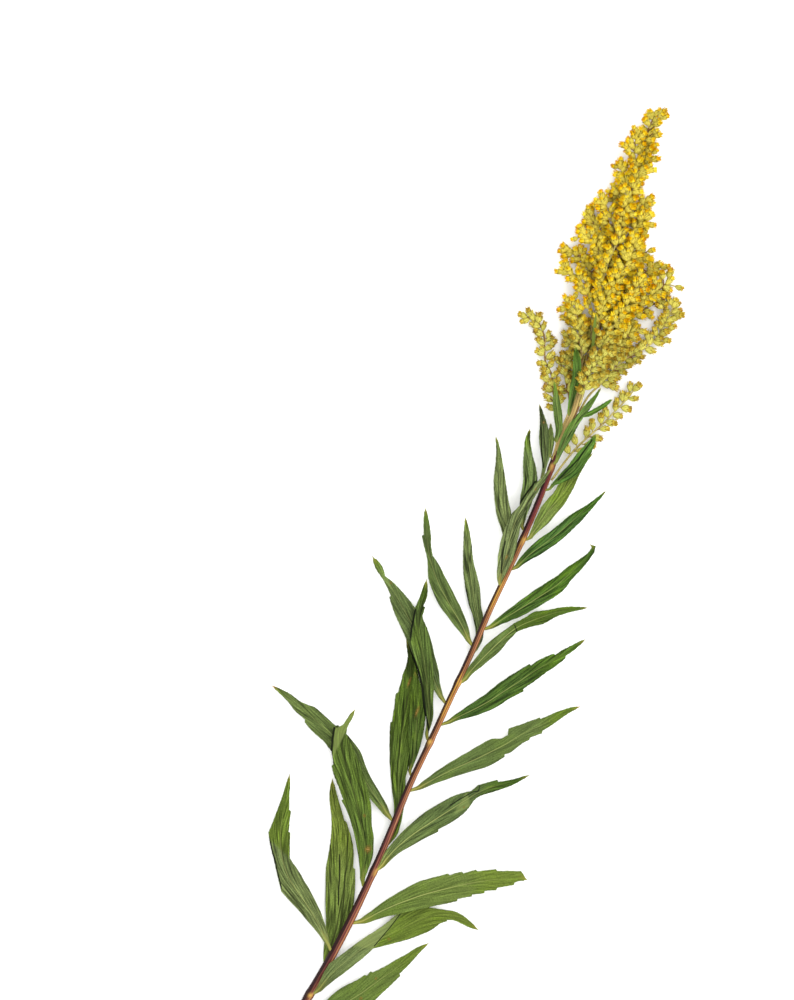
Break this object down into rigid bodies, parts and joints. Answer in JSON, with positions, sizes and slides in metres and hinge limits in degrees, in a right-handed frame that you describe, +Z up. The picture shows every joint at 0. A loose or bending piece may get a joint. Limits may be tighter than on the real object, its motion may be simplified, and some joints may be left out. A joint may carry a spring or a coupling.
{
  "type": "dried goldenrod stem",
  "caption": "Dried, pressed goldenrod stem lying flat, with lance-shaped toothed leaves and a branching plume of small withered yellow flower heads.",
  "frame": {"origin": "middle of the plant's footprint, on the surface that it lies on", "axes": "+Y from the stem's cut end to the tip of the plume, +Z up from the surface, +X to the right as seen from above"},
  "size_m": [0.1308, 0.4338, 0.0173],
  "materials": {
    "stem_bark": "dry ribbed bark, reddish brown",
    "leaf_green": "dry matte leaf, green",
    "head_yellow": "dry matte flower heads, golden yellow"
  },
  "bodies": {
    "root": {"bract_leaf": "leaf_green", "leaf_left_1": "leaf_green", "leaf_left_10": "leaf_green", "leaf_left_11": "leaf_green", "leaf_left_12": "leaf_green", "leaf_left_13": "leaf_green", "leaf_left_14": "leaf_green", "leaf_left_15": "leaf_green", "leaf_left_16": "leaf_green", "leaf_left_2": "leaf_green", "leaf_left_3": "leaf_green", "leaf_left_4": "leaf_green", "leaf_left_5": "leaf_green", "leaf_left_6": "leaf_green", "leaf_left_7": "leaf_green", "leaf_left_8": "leaf_green", "leaf_left_9": "leaf_green", "leaf_right_1": "leaf_green", "leaf_right_10": "leaf_green", "leaf_right_11": "leaf_green", "leaf_right_12": "leaf_green", "leaf_right_13": "leaf_green", "leaf_right_2": "leaf_green", "leaf_right_3": "leaf_green", "leaf_right_4": "leaf_green", "leaf_right_5": "leaf_green", "leaf_right_6": "leaf_green", "leaf_right_7": "leaf_green", "leaf_right_8": "leaf_green", "leaf_right_9": "leaf_green", "spray_front_0": "head_yellow", "spray_front_1": "head_yellow", "spray_front_2": "head_yellow", "spray_front_3": "head_yellow", "spray_front_4": "head_yellow", "spray_left_0": "head_yellow", "spray_left_1": "head_yellow", "spray_left_10": "head_yellow", "spray_left_11": "head_yellow", "spray_left_2": "head_yellow", "spray_left_3": "head_yellow", "spray_left_4": "head_yellow", "spray_left_5": "head_yellow", "spray_left_6": "head_yellow", "spray_left_7": "head_yellow", "spray_left_8": "head_yellow", "spray_left_9": "head_yellow", "spray_low_left": "head_yellow", "spray_low_right": "head_yellow", "spray_right_1": "head_yellow", "spray_right_2": "head_yellow", "spray_right_3": "head_yellow", "spray_right_4": "head_yellow", "spray_right_5": "head_yellow", "spray_right_6": "head_yellow", "spray_right_7": "head_yellow", "spray_right_8": "head_yellow", "spray_right_9": "head_yellow", "spray_top": "head_yellow", "stem": "stem_bark"}
  },
  "joints": []
}
